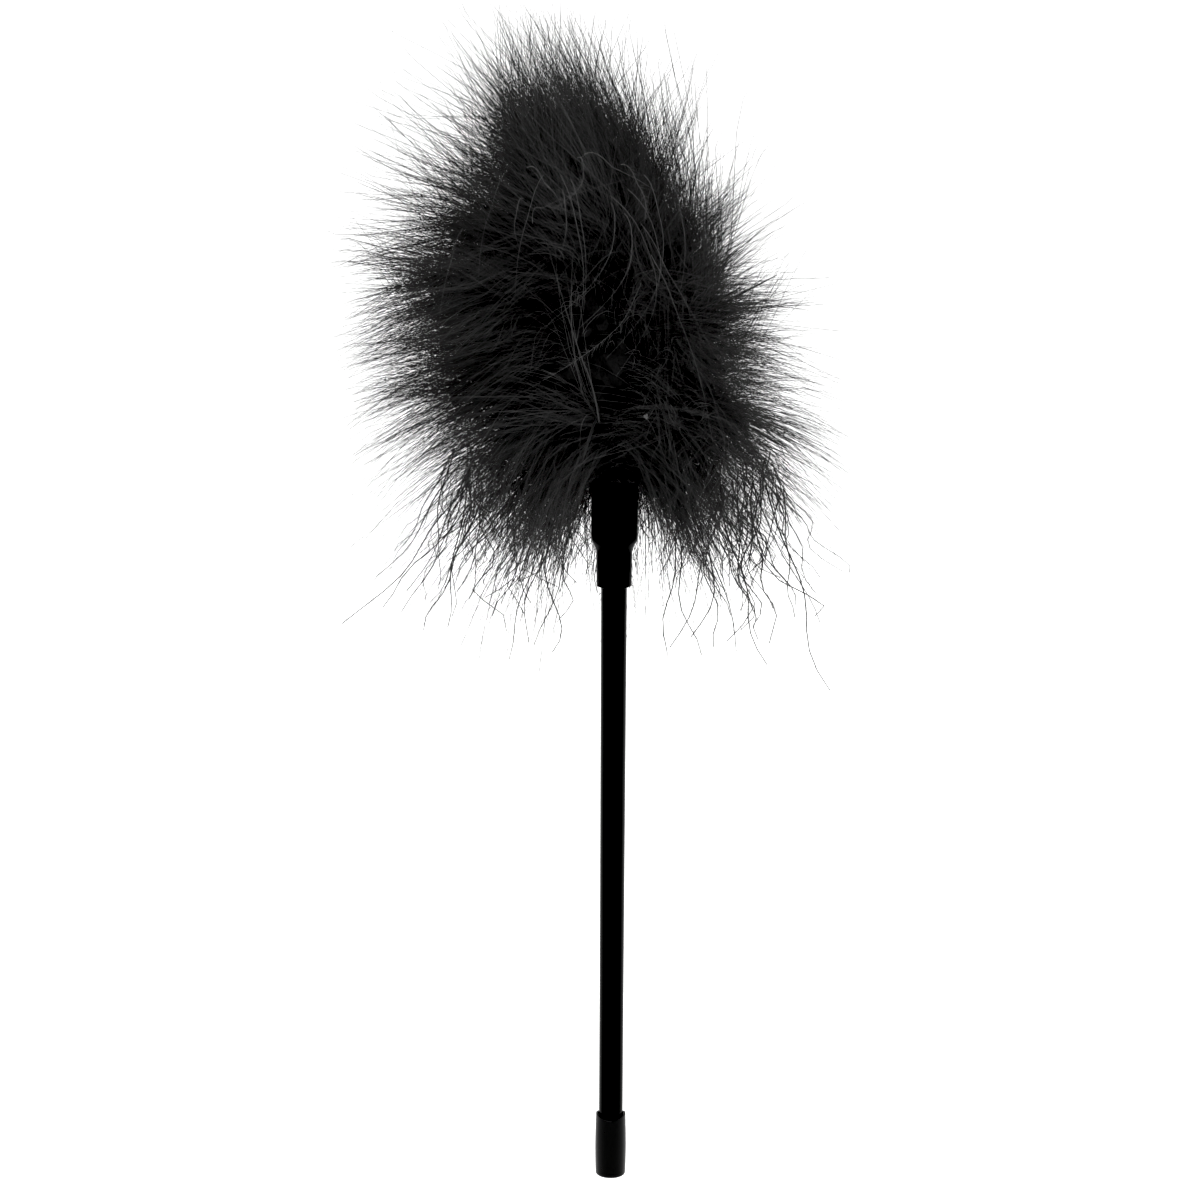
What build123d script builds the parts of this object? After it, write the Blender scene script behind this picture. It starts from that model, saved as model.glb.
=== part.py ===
from build123d import *
import os
from dataclasses import dataclass
from math import cos, radians, sin

# Hand feather duster, standing on its butt: +Z runs up the rod to the feathers, and the front is -Y.
# Millimetres. The origin is the centre of the end cap's flat butt face.

# Rod: a solid moulded wand, slimmest at the hand and a little thicker at the feathers.
GRIP_R = 4.0  # radius of the plain cylindrical land above the end cap
GRIP_LAND = 36.0  # length of that land
CAP_LEAD = 0.15  # how much slimmer in radius the rod is at its butt end, as a lead for the cap
ROD_SWELL = 0.225  # how much thicker in radius the rod is at the feathers
ROD_LENGTH = 224.3
ROD_EDGE = 0.3  # rounding of the rod's two ends

# End cap: a soft slip-on vinyl cap.
CAP_H = 22.2  # butt face to the top of the mouth, before its lip is rounded
CAP_FLOOR = 1.6  # thickness of the closed end
CAP_WALL = 0.85  # wall at the mouth
CAP_BELLY = 0.27  # how much fuller than the mouth the cap is at its fullest
CAP_BELLY_Z = 9.0
CAP_FOOT_FLARE = 0.1  # how much fuller than the mouth the cap is just above its butt
CAP_EDGE = 1.2  # rounding of the butt's edge
CAP_SCOOP = 1.8  # how much lower the mouth is at its front and back than at its sides
CAP_LIP_OUT = 0.4
CAP_LIP_IN = 0.2
CAP_RUNNING = 0.05  # radial running clearance of the cap on the rod
CAP_END_GAP = 0.1  # gap between the rod's end and the cap's floor

# Sleeve: a stepped vinyl ferrule over the rod's top end and the feather quills.
SLEEVE_H = 34.4
SLEEVE_OVER_ROD = 7.6  # how far the sleeve's mouth stands above the rod's top end
SLEEVE_LOW_WALL = 1.43
SLEEVE_LOW_FLARE = 0.125  # the low part widens by this much towards the step
SLEEVE_STEP_H = 5.2
SLEEVE_STEP_GAP = 2.0  # the step is complete this far below the feet of the ring quills
SLEEVE_WALL = 1.175  # wall of the wide part, at the mouth
SLEEVE_FLARE = 0.175  # the wide part is this much fuller just above the step
SLEEVE_LIP = 0.35
SLEEVE_FIT = 0.02  # radial gap of the sleeve on what it covers
SLEEVE_TO_TAPER = 4.2  # the rod's taper ends this far below the sleeve

# Quills and how they are bound on.
QUILL_R = 0.75  # radius of a quill's stout foot
SHAFT_R = 0.4  # radius of its shaft above the sleeve
QUILL_TIP_R = 0.12
QUILL_TIP_L = 12.0  # length of its tapered tip
RING_FEATHERS = 18  # quills laid round the rod's top end
CROWN_FEATHERS = 6  # quills standing on the rod's end face
QUILL_LAY = 0.02  # gap between the rod and a quill laid on it
CROWN_GAP = 0.1  # gap between neighbouring crown quills
RING_GAP = 0.05  # least gap between neighbouring ring quills
QUILL_ON_ROD = 8.5  # length of a ring quill that lies on the rod
THREAD_R = 0.2
THREAD_TURNS = 12
THREAD_PITCH = 0.44
THREAD_BELOW_TOP = 1.7  # the last turn stops this far below the rod's top end
THREAD_LAY = 0.01  # gap between the thread and the quills under it
PLUG_H = 5.0  # height of the adhesive plug on the rod's end
PLUG_GAP = 0.02

# Plumes: each is a thin soft vane on the outer side of its quill.
VANE_T = 1.2
VANE_GAP = 0.05  # gap between a quill and its vane
VANE_LIFT = 1.2  # a vane starts this far above the sleeve's mouth
VANE_SIDE = 0.6  # angle left free at each side of a vane, in degrees
RING_AZIMUTH = -120.0
CROWN_AZIMUTH = -100.0
LEAN = 0.05  # the head is this share fuller towards -X, and as much slimmer towards +X
FRONT_SLIM = 0.06  # the head is this share slimmer at the front, where the feathers part


@dataclass(frozen=True)
class Tier:
    """One tier of feathers: a straight foot, then two arcs that lean it outwards."""

    name: str
    rise: float  # straight height above the sleeve's mouth
    first_r: float
    first_turn: float  # degrees
    second_r: float
    second_turn: float  # degrees
    quill_share: float  # share of the second arc that the stiff quill reaches


SKIRT = Tier("skirt", 3.4, 22.0, 95.0, 56.0, 62.0, 0.35)
MIDDLE = Tier("middle", 6.4, 60.0, 50.0, 90.0, 35.0, 0.35)
HIGH = Tier("high", 8.4, 120.0, 25.0, 110.0, 32.0, 0.4)
CROWN = Tier("crown", 6.4, 300.0, 12.0, 205.0, 19.0, 0.4)
RING_TIERS = (HIGH, SKIRT, HIGH, SKIRT, MIDDLE, SKIRT, MIDDLE, HIGH, SKIRT)
RING_TIERS += (MIDDLE, HIGH, SKIRT, MIDDLE, HIGH, SKIRT, MIDDLE, HIGH, MIDDLE)

# Places and fits that follow from the sizes above.
ROD_FOOT_Z = CAP_FLOOR + CAP_END_GAP
ROD_TOP_Z = ROD_FOOT_Z + ROD_LENGTH
MOUTH_Z = ROD_TOP_Z + SLEEVE_OVER_ROD
SLEEVE_FOOT_Z = MOUTH_Z - SLEEVE_H
BUTT_R = GRIP_R - CAP_LEAD
NECK_R = GRIP_R + ROD_SWELL
LAND_Z = CAP_H + CAP_LIP_OUT
QUILL_FOOT_Z = ROD_TOP_Z - QUILL_ON_ROD
SLEEVE_WIDE_Z = QUILL_FOOT_Z - SLEEVE_STEP_GAP
CAP_MOUTH_R = GRIP_R + CAP_RUNNING + CAP_WALL
RING_R_FOR_ROD = NECK_R + QUILL_LAY + QUILL_R
RING_R_FOR_QUILLS = (2 * QUILL_R + RING_GAP) / (2 * sin(radians(180 / RING_FEATHERS)))
RING_R = max(RING_R_FOR_ROD, RING_R_FOR_QUILLS)
CROWN_R = (2 * QUILL_R + CROWN_GAP) / (2 * sin(radians(180 / CROWN_FEATHERS)))
THREAD_WIND_R = RING_R + QUILL_R + THREAD_LAY + THREAD_R
BORE_LOW_R = NECK_R + SLEEVE_FIT
BORE_WIDE_R = THREAD_WIND_R + THREAD_R + SLEEVE_FIT


def turned(outline):
    """A closed outline of (radius, height) edges, turned about Z."""
    return revolve(Plane.XZ * make_face(outline), Axis.Z)


def outer_circle(edges):
    """The widest of the level circles among some edges."""
    return max(edges.filter_by(GeomType.CIRCLE), key=lambda edge: edge.radius)


def rod():
    body = turned(
        Polyline(
            (0, ROD_FOOT_Z),
            (BUTT_R, ROD_FOOT_Z),
            (GRIP_R, LAND_Z),
            (GRIP_R, LAND_Z + GRIP_LAND),
            (NECK_R, SLEEVE_FOOT_Z - SLEEVE_TO_TAPER),
            (NECK_R, ROD_TOP_Z),
            (0, ROD_TOP_Z),
            close=True,
        )
    )
    levels = body.edges().filter_by(GeomType.CIRCLE).group_by(Axis.Z)
    return fillet(levels[0] + levels[-1], ROD_EDGE)


def end_cap():
    foot_r = CAP_MOUTH_R + CAP_FOOT_FLARE
    side = Spline(
        (foot_r, CAP_EDGE),
        (CAP_MOUTH_R + CAP_BELLY, CAP_BELLY_Z),
        (CAP_MOUTH_R, CAP_H),
        tangents=[(0.03, 1), (-0.03, 1)],
    )
    foot = Polyline((foot_r, CAP_EDGE), (foot_r, 0), (0, 0), (0, CAP_H), (CAP_MOUTH_R, CAP_H))
    shell = turned(side + foot)
    shell = fillet(outer_circle(shell.edges().group_by(Axis.Z)[0]), CAP_EDGE * 0.9)
    socket = turned(
        Polyline(
            (0, CAP_FLOOR),
            (BUTT_R + CAP_RUNNING, CAP_FLOOR),
            (BUTT_R + CAP_RUNNING, ROD_FOOT_Z),
            (GRIP_R + CAP_RUNNING, LAND_Z),
            (0, LAND_Z),
            close=True,
        )
    )
    # A roller lying front to back scoops the mouth, so that its two sides stand up as horns.
    roller_r = (CAP_MOUTH_R**2 + CAP_SCOOP**2) / (2 * CAP_SCOOP)
    roller = Cylinder(roller_r, 4 * CAP_MOUTH_R, rotation=(90, 0, 0))
    cap = shell - socket - Pos(0, 0, CAP_H - CAP_SCOOP + roller_r) * roller
    mouth = cap.faces().sort_by(Axis.Z)[-1]
    cap = fillet(mouth.outer_wire().edges(), CAP_LIP_OUT)
    mouth = cap.faces().filter_by(GeomType.CYLINDER).sort_by(SortBy.RADIUS)[-1]
    return fillet(mouth.inner_wires().edges(), CAP_LIP_IN)


def sleeve():
    low_r = BORE_LOW_R + SLEEVE_LOW_WALL
    mouth_r = BORE_WIDE_R + SLEEVE_WALL
    step_foot = (low_r + SLEEVE_LOW_FLARE, SLEEVE_WIDE_Z - SLEEVE_STEP_H)
    step_top = (mouth_r + SLEEVE_FLARE, SLEEVE_WIDE_Z)
    low = Polyline((BORE_LOW_R, SLEEVE_FOOT_Z), (low_r, SLEEVE_FOOT_Z), step_foot)
    step = Spline(step_foot, step_top, tangents=[(0, 1), (0, 1)])
    wide = Polyline(
        step_top,
        (mouth_r, MOUTH_Z),
        (BORE_WIDE_R, MOUTH_Z),
        (BORE_WIDE_R, SLEEVE_WIDE_Z),
        (BORE_LOW_R, SLEEVE_WIDE_Z - (BORE_WIDE_R - BORE_LOW_R)),
        (BORE_LOW_R, SLEEVE_FOOT_Z),
    )
    body = turned(low + step + wide)
    levels = body.edges().filter_by(GeomType.CIRCLE).group_by(Axis.Z)
    return fillet([outer_circle(levels[0]), outer_circle(levels[-1])], SLEEVE_LIP)


def binding_thread():
    """Thread whipped round the ring quills under the sleeve, each turn a level ring."""
    turn = Torus(THREAD_WIND_R, THREAD_R)
    top_z = ROD_TOP_Z - THREAD_BELOW_TOP
    return Compound([Pos(0, 0, top_z - THREAD_PITCH * k) * turn for k in range(THREAD_TURNS)])


def adhesive_plug():
    """Hardened adhesive on the rod's end, with the crown quills standing in it."""
    upwards = (Align.CENTER, Align.CENTER, Align.MIN)
    plug = Cylinder(NECK_R - PLUG_GAP, PLUG_H, align=upwards)
    for place in PolarLocations(CROWN_R, CROWN_FEATHERS, CROWN_AZIMUTH):
        plug -= place * Cylinder(QUILL_R + PLUG_GAP, PLUG_H, align=upwards)
    return Pos(0, 0, ROD_TOP_Z) * plug


def fullness(azimuth):
    """How far a feather at this azimuth reaches, as a share of its tier's own reach."""
    front = min(0.0, sin(radians(azimuth)))
    return 1.0 - LEAN * cos(radians(azimuth)) + FRONT_SLIM * front


def spine(tier, azimuth, foot_r, foot_z, share, outwards=0.0):
    """A feather's line in the XZ plane, moved outwards, to a share of its second arc."""
    full = fullness(azimuth)
    foot = Line((foot_r + outwards, foot_z), (foot_r + outwards, MOUTH_Z + tier.rise))
    first = JernArc(foot @ 1, (0, 1), tier.first_r * full - outwards, -tier.first_turn)
    second_r = tier.second_r * full - outwards
    second = JernArc(first @ 1, first % 1, second_r, -tier.second_turn * share)
    return foot, first, second


def bent_round(arc, radius):
    """A round bar along an arc that lies in the XZ plane."""
    start = Plane.XZ.from_local_coords(arc @ 0)
    heading = Plane.XZ.from_local_coords(arc % 0)
    centre = Plane.XZ.from_local_coords(arc.arc_center)
    turn = (arc % 0).get_angle(arc % 1)
    return revolve(Plane(start, z_dir=heading) * Circle(radius), Axis(centre, (0, 1, 0)), turn)


def quill(tier, azimuth, foot_r, foot_z):
    """A stout foot that narrows above the sleeve, a slim bent shaft and a pointed tip."""
    foot, first, second = spine(tier, azimuth, foot_r, foot_z, tier.quill_share)
    upwards = (Align.CENTER, Align.CENTER, Align.MIN)
    stout = Pos(foot_r, 0, foot_z) * Cylinder(QUILL_R, MOUTH_Z - foot_z, align=upwards)
    narrowing = Pos(foot_r, 0, MOUTH_Z) * Cone(QUILL_R, SHAFT_R, tier.rise, align=upwards)
    shaft = bent_round(first, SHAFT_R) + bent_round(second, SHAFT_R)
    end = Plane(Plane.XZ.from_local_coords(second @ 1), z_dir=Plane.XZ.from_local_coords(second % 1))
    tip = end * Cone(SHAFT_R, QUILL_TIP_R, QUILL_TIP_L, align=upwards)
    return Rot(0, 0, azimuth) * (stout + narrowing + shaft + tip)


def plume(tier, azimuth, foot_r, spread):
    """A thin vane that follows its quill's outer side, spread degrees wide about Z."""
    near = QUILL_R + VANE_GAP
    foot_z = MOUTH_Z + VANE_LIFT
    inner = spine(tier, azimuth, foot_r, foot_z, 1.0, near)
    outer = spine(tier, azimuth, foot_r, foot_z, 1.0, near + VANE_T)
    ends = [Line(inner[0] @ 0, outer[0] @ 0), Line(inner[2] @ 1, outer[2] @ 1)]
    section = Plane.XZ * make_face([*inner, *outer, *ends])
    turn = spread - 2 * VANE_SIDE
    return Rot(0, 0, azimuth - turn / 2) * revolve(section, Axis.Z, revolution_arc=turn)


def feathers():
    """Every feather as (number, tier, azimuth, foot radius, quill foot height, spread)."""
    rows = []
    spread = 360 / RING_FEATHERS
    for k in range(RING_FEATHERS):
        tier = RING_TIERS[k % len(RING_TIERS)]
        rows.append((tier, RING_AZIMUTH + spread * k, RING_R, QUILL_FOOT_Z, spread))
    spread = 360 / CROWN_FEATHERS
    for k in range(CROWN_FEATHERS):
        rows.append((CROWN, CROWN_AZIMUTH + spread * k, CROWN_R, ROD_TOP_Z, spread))
    return [(number, *row) for number, row in enumerate(rows, start=1)]


def parts():
    made = {
        "rod": rod(),
        "end_cap": end_cap(),
        "sleeve": sleeve(),
        "binding_thread": binding_thread(),
        "adhesive_plug": adhesive_plug(),
    }
    for number, tier, azimuth, foot_r, foot_z, spread in feathers():
        made[f"quill_{tier.name}_{number:02d}"] = quill(tier, azimuth, foot_r, foot_z)
        made[f"plume_{tier.name}_{number:02d}"] = plume(tier, azimuth, foot_r, spread)
    return made


os.makedirs("parts", exist_ok=True)
for node, solid in parts().items():
    solid.label = node
    export_step(solid, f"parts/{node}.step")
    print(node, round(solid.volume, 2))
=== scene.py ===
"""Looks of a hand feather duster: a marabou head, a stepped sleeve, a slim rod and a slip-on cap."""

import logging
import math
from dataclasses import dataclass, field
from enum import Enum

import bmesh
import bpy
import numpy as np
from mathutils import Matrix, Vector, noise

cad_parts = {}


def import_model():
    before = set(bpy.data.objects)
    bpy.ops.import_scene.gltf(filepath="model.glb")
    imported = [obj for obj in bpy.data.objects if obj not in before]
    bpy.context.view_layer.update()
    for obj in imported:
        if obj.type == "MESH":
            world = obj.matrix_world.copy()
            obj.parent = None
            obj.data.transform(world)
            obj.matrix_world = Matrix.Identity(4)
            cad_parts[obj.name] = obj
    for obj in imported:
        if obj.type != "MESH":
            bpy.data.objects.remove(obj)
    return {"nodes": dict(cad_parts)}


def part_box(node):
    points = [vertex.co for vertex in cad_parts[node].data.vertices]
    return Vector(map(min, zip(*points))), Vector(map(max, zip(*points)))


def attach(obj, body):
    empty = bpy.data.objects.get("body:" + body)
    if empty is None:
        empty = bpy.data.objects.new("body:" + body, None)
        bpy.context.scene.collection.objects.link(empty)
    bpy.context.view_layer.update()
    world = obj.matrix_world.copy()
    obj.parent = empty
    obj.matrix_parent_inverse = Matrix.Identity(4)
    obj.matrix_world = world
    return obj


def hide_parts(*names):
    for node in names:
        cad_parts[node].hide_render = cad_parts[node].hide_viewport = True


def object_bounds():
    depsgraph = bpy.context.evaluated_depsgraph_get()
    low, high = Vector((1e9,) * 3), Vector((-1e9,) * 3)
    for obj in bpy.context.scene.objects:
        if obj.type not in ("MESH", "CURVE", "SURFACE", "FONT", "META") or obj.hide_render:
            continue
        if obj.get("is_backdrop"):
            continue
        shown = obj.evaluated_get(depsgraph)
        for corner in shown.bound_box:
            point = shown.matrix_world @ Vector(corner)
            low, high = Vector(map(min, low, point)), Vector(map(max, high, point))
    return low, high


LOG = logging.getLogger("feather_duster")
MM = 0.001
UP = np.array((0.0, 0.0, 1.0))
BEYOND_SHARE = 0.03  # the down may stand this share of each side beyond the frame's box ...
BEYOND_LENGTH = 9 * MM  # ... and this much more


# ---------------------------------------------------------------- small helpers


def linear(hex_colour: str) -> tuple[float, float, float, float]:
    """Turn an sRGB hex colour into a linear RGBA colour.

    Args:
        hex_colour: six hex digits with a leading #.

    Returns:
        The linear colour with an alpha of 1.
    """
    channels = [int(hex_colour[i : i + 2], 16) / 255 for i in (1, 3, 5)]
    bright = [c / 12.92 if c <= 0.04045 else ((c + 0.055) / 1.055) ** 2.4 for c in channels]
    return (*bright, 1.0)


def add_node(
    tree: bpy.types.NodeTree,
    kind: str,
    settings: dict[str, object] | None = None,
    values: dict[str, object] | None = None,
    links: dict[str, bpy.types.NodeSocket] | None = None,
) -> bpy.types.Node:
    """Add a shader node with its settings, input values and incoming links.

    Args:
        tree: node tree that takes the node.
        kind: name of the node type.
        settings: node properties to set.
        values: default values by input name.
        links: sockets that feed inputs, by input name.

    Returns:
        The new node.
    """
    node = tree.nodes.new(kind)
    for name, value in (settings or {}).items():
        setattr(node, name, value)
    for name, value in (values or {}).items():
        node.inputs[name].default_value = value
    for name, source in (links or {}).items():
        tree.links.new(source, node.inputs[name])
    return node


def unit(vectors: np.ndarray) -> np.ndarray:
    """Scale vectors along the last axis to length one."""
    return vectors / np.maximum(np.linalg.norm(vectors, axis=-1, keepdims=True), 1e-12)


def link(name: str, data: bpy.types.ID) -> bpy.types.Object:
    """Make an object of a mesh, curve, lamp or camera, and link it to the scene.

    Args:
        name: the object's name.
        data: what it shows.

    Returns:
        The new object.
    """
    made = bpy.data.objects.new(name, data)
    bpy.context.scene.collection.objects.link(made)
    return made


def finished(form: bmesh.types.BMesh, name: str) -> bpy.types.Object:
    """Turn a finished form into a linked mesh object, and free the form.

    Args:
        form: the form, in its place in the scene.
        name: the name of the mesh and the object.

    Returns:
        The new object.
    """
    mesh = bpy.data.meshes.new(name)
    form.to_mesh(mesh)
    form.free()
    return link(name, mesh)


def dress(piece: bpy.types.Object, material: bpy.types.Material) -> None:
    """Give every material slot of a piece one material, adding a slot where it has none.

    Args:
        piece: the mesh object.
        material: the material.
    """
    if not piece.data.materials:
        piece.data.materials.append(material)
    for slot in piece.material_slots:
        slot.material = material


# ---------------------------------------------------------------- finishes


@dataclass(frozen=True)
class Finish:
    """A surface finish: the shader's plain values, and a fine grain drawn by nodes.

    The grain is a noise that follows Object coordinates. It moves the roughness a little and
    lifts a fine bump.
    """

    name: str
    colour: str
    roughness: float
    roughness_play: float  # how far the grain moves the roughness, up and down
    grain_mm: float
    bump_mm: float
    stretch: float = 1.0  # how many times longer the grain is upwards than across
    specular: float = 0.5
    sheen: float = 0.0
    ior: float = 1.5  # close to that of plastics, keratin and cotton alike
    detail: float = 3.0
    detail_roughness: float = 0.55

    def material(self) -> bpy.types.Material:
        """Build the material.

        Returns:
            A Principled material with a noise-driven roughness and bump.
        """
        material = bpy.data.materials.new(self.name)
        material.use_nodes = True
        tree = material.node_tree
        shader = tree.nodes["Principled BSDF"]
        shader.inputs["Base Color"].default_value = linear(self.colour)
        shader.inputs["IOR"].default_value = self.ior
        shader.inputs["Specular IOR Level"].default_value = self.specular
        shader.inputs["Sheen Weight"].default_value = self.sheen
        place = add_node(tree, "ShaderNodeTexCoord")
        stretched = add_node(
            tree,
            "ShaderNodeMapping",
            values={"Scale": (1.0, 1.0, 1.0 / self.stretch)},
            links={"Vector": place.outputs["Object"]},
        )
        grain = add_node(
            tree,
            "ShaderNodeTexNoise",
            values={
                "Scale": 1.0 / (self.grain_mm * MM),
                "Detail": self.detail,
                "Roughness": self.detail_roughness,
            },
            links={"Vector": stretched.outputs["Vector"]},
        )
        rough = add_node(
            tree,
            "ShaderNodeMapRange",
            values={
                "To Min": self.roughness - self.roughness_play,
                "To Max": self.roughness + self.roughness_play,
            },
            links={"Value": grain.outputs["Fac"]},
        )
        tree.links.new(rough.outputs["Result"], shader.inputs["Roughness"])
        bump = add_node(
            tree,
            "ShaderNodeBump",
            values={"Strength": 1.0, "Distance": self.bump_mm * MM},
            links={"Height": grain.outputs["Fac"]},
        )
        tree.links.new(bump.outputs["Normal"], shader.inputs["Normal"])
        return material


# Polished injection-moulded ABS: near black, with the faint waviness of a long moulding.
ROD_ABS = Finish("polished_black_abs", "#040404", 0.16, 0.05, 2.5, 0.004, stretch=6.0, specular=0.04)
# Extruded vinyl ferrule: satin, with fine lines drawn along it by the die.
SLEEVE_VINYL = Finish("satin_black_vinyl", "#040404", 0.42, 0.08, 0.5, 0.010, stretch=12.0, specular=0.03)
# Dip-moulded soft vinyl: smooth and rubbery, with a slow unevenness from the dip.
CAP_VINYL = Finish("dipped_soft_vinyl", "#040404", 0.30, 0.07, 1.6, 0.012, specular=0.09)
# Dyed feather shaft: horn-like keratin, drawn out lengthwise, with a dull shine.
QUILL_KERATIN = Finish(
    "dyed_quill_keratin", "#292929", 0.50, 0.10, 0.4, 0.010, stretch=8.0, specular=0.12
)
# Dyed marabou down: matt fibres, softened a little more by their own fuzz.
MARABOU_DOWN = Finish("dyed_marabou_down", "#292929", 0.80, 0.12, 3.0, 0.004, specular=0.12, sheen=0.05)
# A closed core that stands in for the dense down at the middle of the head, coloured darker than the
# strands as painted shade: dull, with no shine at all.
SHADED_CORE_DOWN = Finish("painted_shade_core_down", "#202020", 0.90, 0.05, 0.8, 0.30, specular=0.0)
# Bare barbs that have lost their down: smoother, and a lighter grey than the rest, which is a painted
# highlight for the light they catch.
LIT_BARE_BARB = Finish("bare_dyed_barb_painted_highlight", "#404040", 0.50, 0.10, 1.0, 0.003, specular=0.25)
# A fleck of pale cotton lint caught in the down: matt, and coloured dark grey as painted shade from the
# down round it.
SHADED_LINT = Finish("cotton_lint_painted_shade", "#4a4a4a", 0.90, 0.05, 0.2, 0.05, specular=0.1)
# Waxed polyester thread: black, with the slight shine of its wax.
WAXED_THREAD = Finish("waxed_thread", "#0d0d0e", 0.50, 0.10, 0.2, 0.02, specular=0.3)
# Hardened hot-melt adhesive: pale amber, and a little lumpy where it set.
ADHESIVE = Finish("hot_melt_adhesive", "#b9a27a", 0.35, 0.10, 0.8, 0.03)


# ---------------------------------------------------------------- strands


@dataclass
class Sheaf:
    """Many thin strands that become one closed mesh.

    Each strand is a three-sided tube, closed at both ends. Where its radius falls to nothing,
    the end's corners are merged into a point.
    """

    name: str
    tip_merge: float = 0.5e-6  # metres: corners closer than this become one
    batches: list[tuple[np.ndarray, np.ndarray]] = field(default_factory=list)

    def add(self, points: np.ndarray, radii: np.ndarray) -> None:
        """Add strands of one point count.

        Args:
            points: strands by points by three, in metres.
            radii: strands by points, in metres.
        """
        self.batches.append((points, radii))

    def build(self, profile: bpy.types.Object) -> bpy.types.Object:
        """Draw the strands as tubes.

        Args:
            profile: the small closed curve that is their cross-section, one metre in radius.

        Returns:
            The mesh object, linked to the scene.
        """
        curve = bpy.data.curves.new(self.name, "CURVE")
        curve.dimensions = "3D"
        curve.bevel_mode = "OBJECT"
        curve.bevel_object = profile
        curve.use_fill_caps = True
        for points, radii in self.batches:
            weighted = np.concatenate((points, np.ones((*points.shape[:2], 1))), axis=2)
            rows = weighted.reshape(len(points), -1).astype(np.float32)
            for row, radius in zip(rows, radii.astype(np.float32)):
                spline = curve.splines.new("POLY")
                spline.points.add(points.shape[1] - 1)
                spline.points.foreach_set("co", row)
                spline.points.foreach_set("radius", radius)
        drawn = link(self.name + "_curve", curve)
        bpy.context.view_layer.update()
        evaluated = drawn.evaluated_get(bpy.context.evaluated_depsgraph_get())
        mesh = bpy.data.meshes.new_from_object(evaluated)
        bpy.data.objects.remove(drawn)
        bpy.data.curves.remove(curve)
        form = bmesh.new()
        form.from_mesh(mesh)
        bmesh.ops.remove_doubles(form, verts=form.verts, dist=self.tip_merge)
        form.to_mesh(mesh)
        form.free()
        mesh.name = self.name
        return link(self.name, mesh)


def strand_profile() -> bpy.types.Object:
    """Make the three-cornered cross-section that all strands share.

    Returns:
        A curve object, one metre in radius.
    """
    curve = bpy.data.curves.new("strand_profile", "CURVE")
    outline = curve.splines.new("POLY")
    outline.points.add(2)
    for k, point in enumerate(outline.points):
        turn = math.tau * k / len(outline.points)
        point.co = (math.cos(turn), math.sin(turn), 0.0, 1.0)
    outline.use_cyclic_u = True
    return link("strand_profile", curve)


# ---------------------------------------------------------------- feathers


@dataclass(frozen=True)
class Growth:
    """The line of a tier's feathers, in millimetres and degrees: a straight rise and two bends."""

    rise: float
    first_r: float
    first_turn: float
    second_r: float
    second_turn: float
    quill_share: float  # share of the second bend that the stiff quill reaches
    droop: float  # how strongly the barbs bend down towards their tips


class Tier(Enum):
    """The four tiers of feathers."""

    SKIRT = Growth(3.4, 22.0, 95.0, 56.0, 62.0, 0.35, 0.45)
    MIDDLE = Growth(6.4, 60.0, 50.0, 90.0, 35.0, 0.35, 0.30)
    HIGH = Growth(8.4, 120.0, 25.0, 110.0, 32.0, 0.4, 0.22)
    CROWN = Growth(6.4, 300.0, 12.0, 205.0, 19.0, 0.4, 0.05)


@dataclass(frozen=True)
class Outline:
    """How far the close down reaches from the middle of the head, in each direction.

    The angles are measured down from straight up, and the reaches on the two sides are blended
    round the head. Lengths are in millimetres.
    """

    middle: tuple[float, float, float] = (-10.0, 0.0, 280.0)
    angles: tuple[float, ...] = (0.0, 45.0, 90.0, 112.0, 135.0, 180.0)
    left: tuple[float, ...] = (78.0, 65.0, 62.0, 59.0, 50.0, 76.0)
    right: tuple[float, ...] = (78.0, 57.0, 52.5, 71.0, 77.0, 81.0)
    nearest_y: float = -85.0  # nothing of the head lies further forwards
    halvings: int = 14  # enough to find the front to 0.01 mm

    def centre(self) -> np.ndarray:
        """The middle of the head in metres."""
        return np.array(self.middle) * MM

    def front(self, x: np.ndarray, z: np.ndarray, over: float) -> np.ndarray:
        """Find points in front of the head, at a given height over its close down.

        Args:
            x: sideways places in metres.
            z: heights in metres.
            over: how far beyond the close down they lie, in metres.

        Returns:
            The points, with three as the last axis.
        """
        near, far = np.full(x.shape, self.nearest_y * MM), np.zeros(x.shape)
        for _ in range(self.halvings):
            y = (near + far) / 2
            points = np.stack((x, y, z), axis=-1)
            outside = np.linalg.norm(points - self.centre(), axis=-1) > self.reach(points) + over
            near, far = np.where(outside, y, near), np.where(outside, far, y)
        return np.stack((x, (near + far) / 2, z), axis=-1)

    def reach(self, places: np.ndarray) -> np.ndarray:
        """Find the reach of the close down towards some places.

        Args:
            places: points, with three as the last axis.

        Returns:
            The reach in metres, without that axis.
        """
        way = unit(places - self.centre())
        down = np.degrees(np.arccos(way[..., 2].clip(-1, 1)))
        across = way[..., 0] / np.maximum(np.hypot(way[..., 0], way[..., 1]), 1e-9)
        left = np.interp(down, self.angles, self.left)
        right = np.interp(down, self.angles, self.right)
        return (left * (1 - across) + right * (1 + across)) / 2 * MM


HEAD = Outline()


@dataclass(frozen=True)
class Parting:
    """The dark valley down the front of the head, between its two lobes, in millimetres."""

    low: tuple[float, float, float] = (-22.0, -90.0, 250.0)
    high: tuple[float, float, float] = (5.0, -33.0, 306.0)
    share: float = 0.82  # share of the barbs left out there

    def crossed(self, places: np.ndarray) -> np.ndarray:
        """Find the barbs that cross the valley.

        Args:
            places: points along the barbs, in metres.

        Returns:
            One truth value for each barb.
        """
        inside = (places > np.array(self.low) * MM) & (places < np.array(self.high) * MM)
        return inside.all(axis=-1).any(axis=1)


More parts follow.
